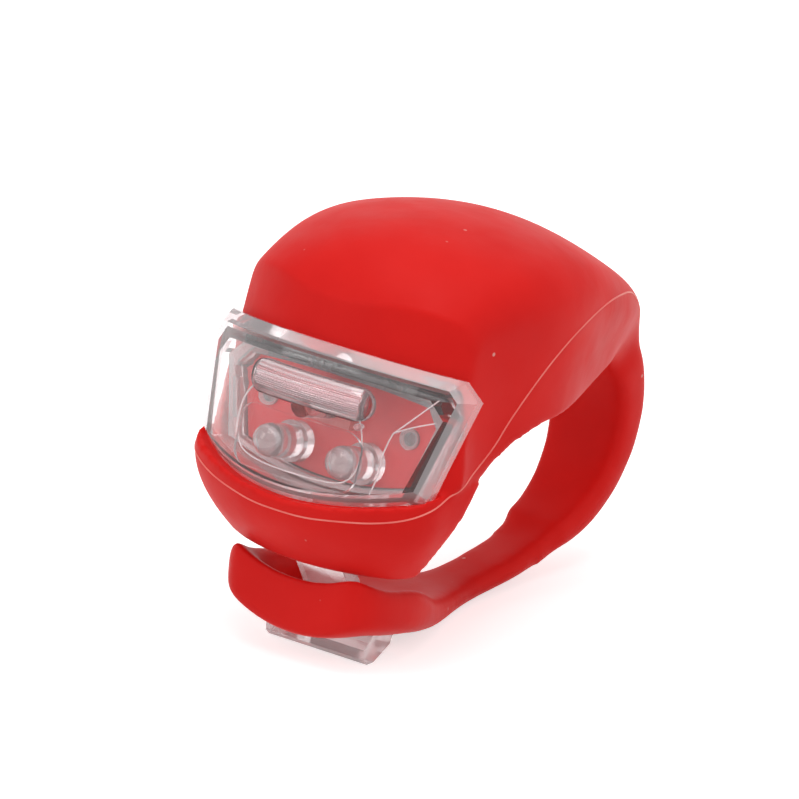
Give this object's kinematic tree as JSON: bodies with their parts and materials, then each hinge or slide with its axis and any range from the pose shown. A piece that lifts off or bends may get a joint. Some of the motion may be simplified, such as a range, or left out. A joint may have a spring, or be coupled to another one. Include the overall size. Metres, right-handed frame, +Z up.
{
  "type": "bicycle light",
  "caption": "Small silicone-jacketed bicycle light with a bowed clear press lens over two lamps, and a wrap-round rubber strap with a paddle end that catches a clear hook under the body.",
  "frame": {"origin": "middle of the bounding box at the surface that the light stands on, under the strap and the hook toe", "axes": "+Z up; -Y the way the lens faces; +Y the bend of the strap; +X across, along the tube that the strap wraps"},
  "size_m": [0.0274, 0.0492, 0.0376],
  "materials": {
    "silicone": "satin silicone rubber, soft sheen",
    "clear_plastic": "clear polished polycarbonate",
    "seal_rubber": "matt black rubber",
    "white_plastic": "fine satin",
    "contact_steel": "nickel plated spring steel",
    "wire_copper": "tinned copper wire",
    "cell_steel": "drawn stainless steel",
    "board": "red solder mask",
    "lamp_resin": "water clear resin",
    "black_plastic": "moulded, matt"
  },
  "bodies": {
    "capsule": {"jacket": "silicone", "housing": "clear_plastic", "lens_seal": "seal_rubber", "side_contact": "contact_steel", "top_contact": "contact_steel", "contact_wires": "wire_copper", "cell_lower": "cell_steel", "cell_upper": "cell_steel", "circuit_board": "board", "led_left": "lamp_resin", "led_right": "lamp_resin", "led_leads": "contact_steel", "switch_body": "black_plastic", "switch_cover": "contact_steel", "controller_chip": "black_plastic", "resistors": "black_plastic"},
    "strap_bend": {"strap_rear": "silicone"},
    "strap_tail": {"strap_end": "silicone"},
    "lens": {"lens": "clear_plastic"},
    "plunger": {"switch_button": "black_plastic"},
    "cap": {"battery_cap": "white_plastic", "cap_seal": "seal_rubber", "cap_contact": "contact_steel"}
  },
  "joints": [
    {"name": "strap_root_bend", "type": "hinge", "parent": "capsule", "child": "strap_bend", "pos_m": [0, 0.02278, 0.02033], "axis": [1, 0, 0], "range_deg": [0, 30], "stiffness_Nm_per_rad": 0.02},
    {"name": "strap_tail_bend", "type": "hinge", "parent": "strap_bend", "child": "strap_tail", "pos_m": [0, 0.01536, 0.00228], "axis": [1, 0, 0], "range_deg": [0, 60], "stiffness_Nm_per_rad": 0.005},
    {"name": "lens_press", "type": "slide", "parent": "capsule", "child": "lens", "axis": [0, 0.9686, -0.2487], "range_m": [0, 0.0004], "stiffness_N_per_m": 2500},
    {"name": "switch_press", "type": "slide", "parent": "capsule", "child": "plunger", "axis": [0, 0.9686, -0.2487], "range_m": [0, 0.0004]},
    {"name": "cap_turn", "type": "hinge", "parent": "capsule", "child": "cap", "pos_m": [0, -0.00114, 0.0226], "axis": [0, 0, 1], "range_deg": [0, 30]}
  ],
  "couplings": [
    {"joint": "strap_root_bend", "follows": "strap_tail_bend", "ratio": 0.5},
    {"joint": "switch_press", "follows": "lens_press", "ratio": 1}
  ]
}
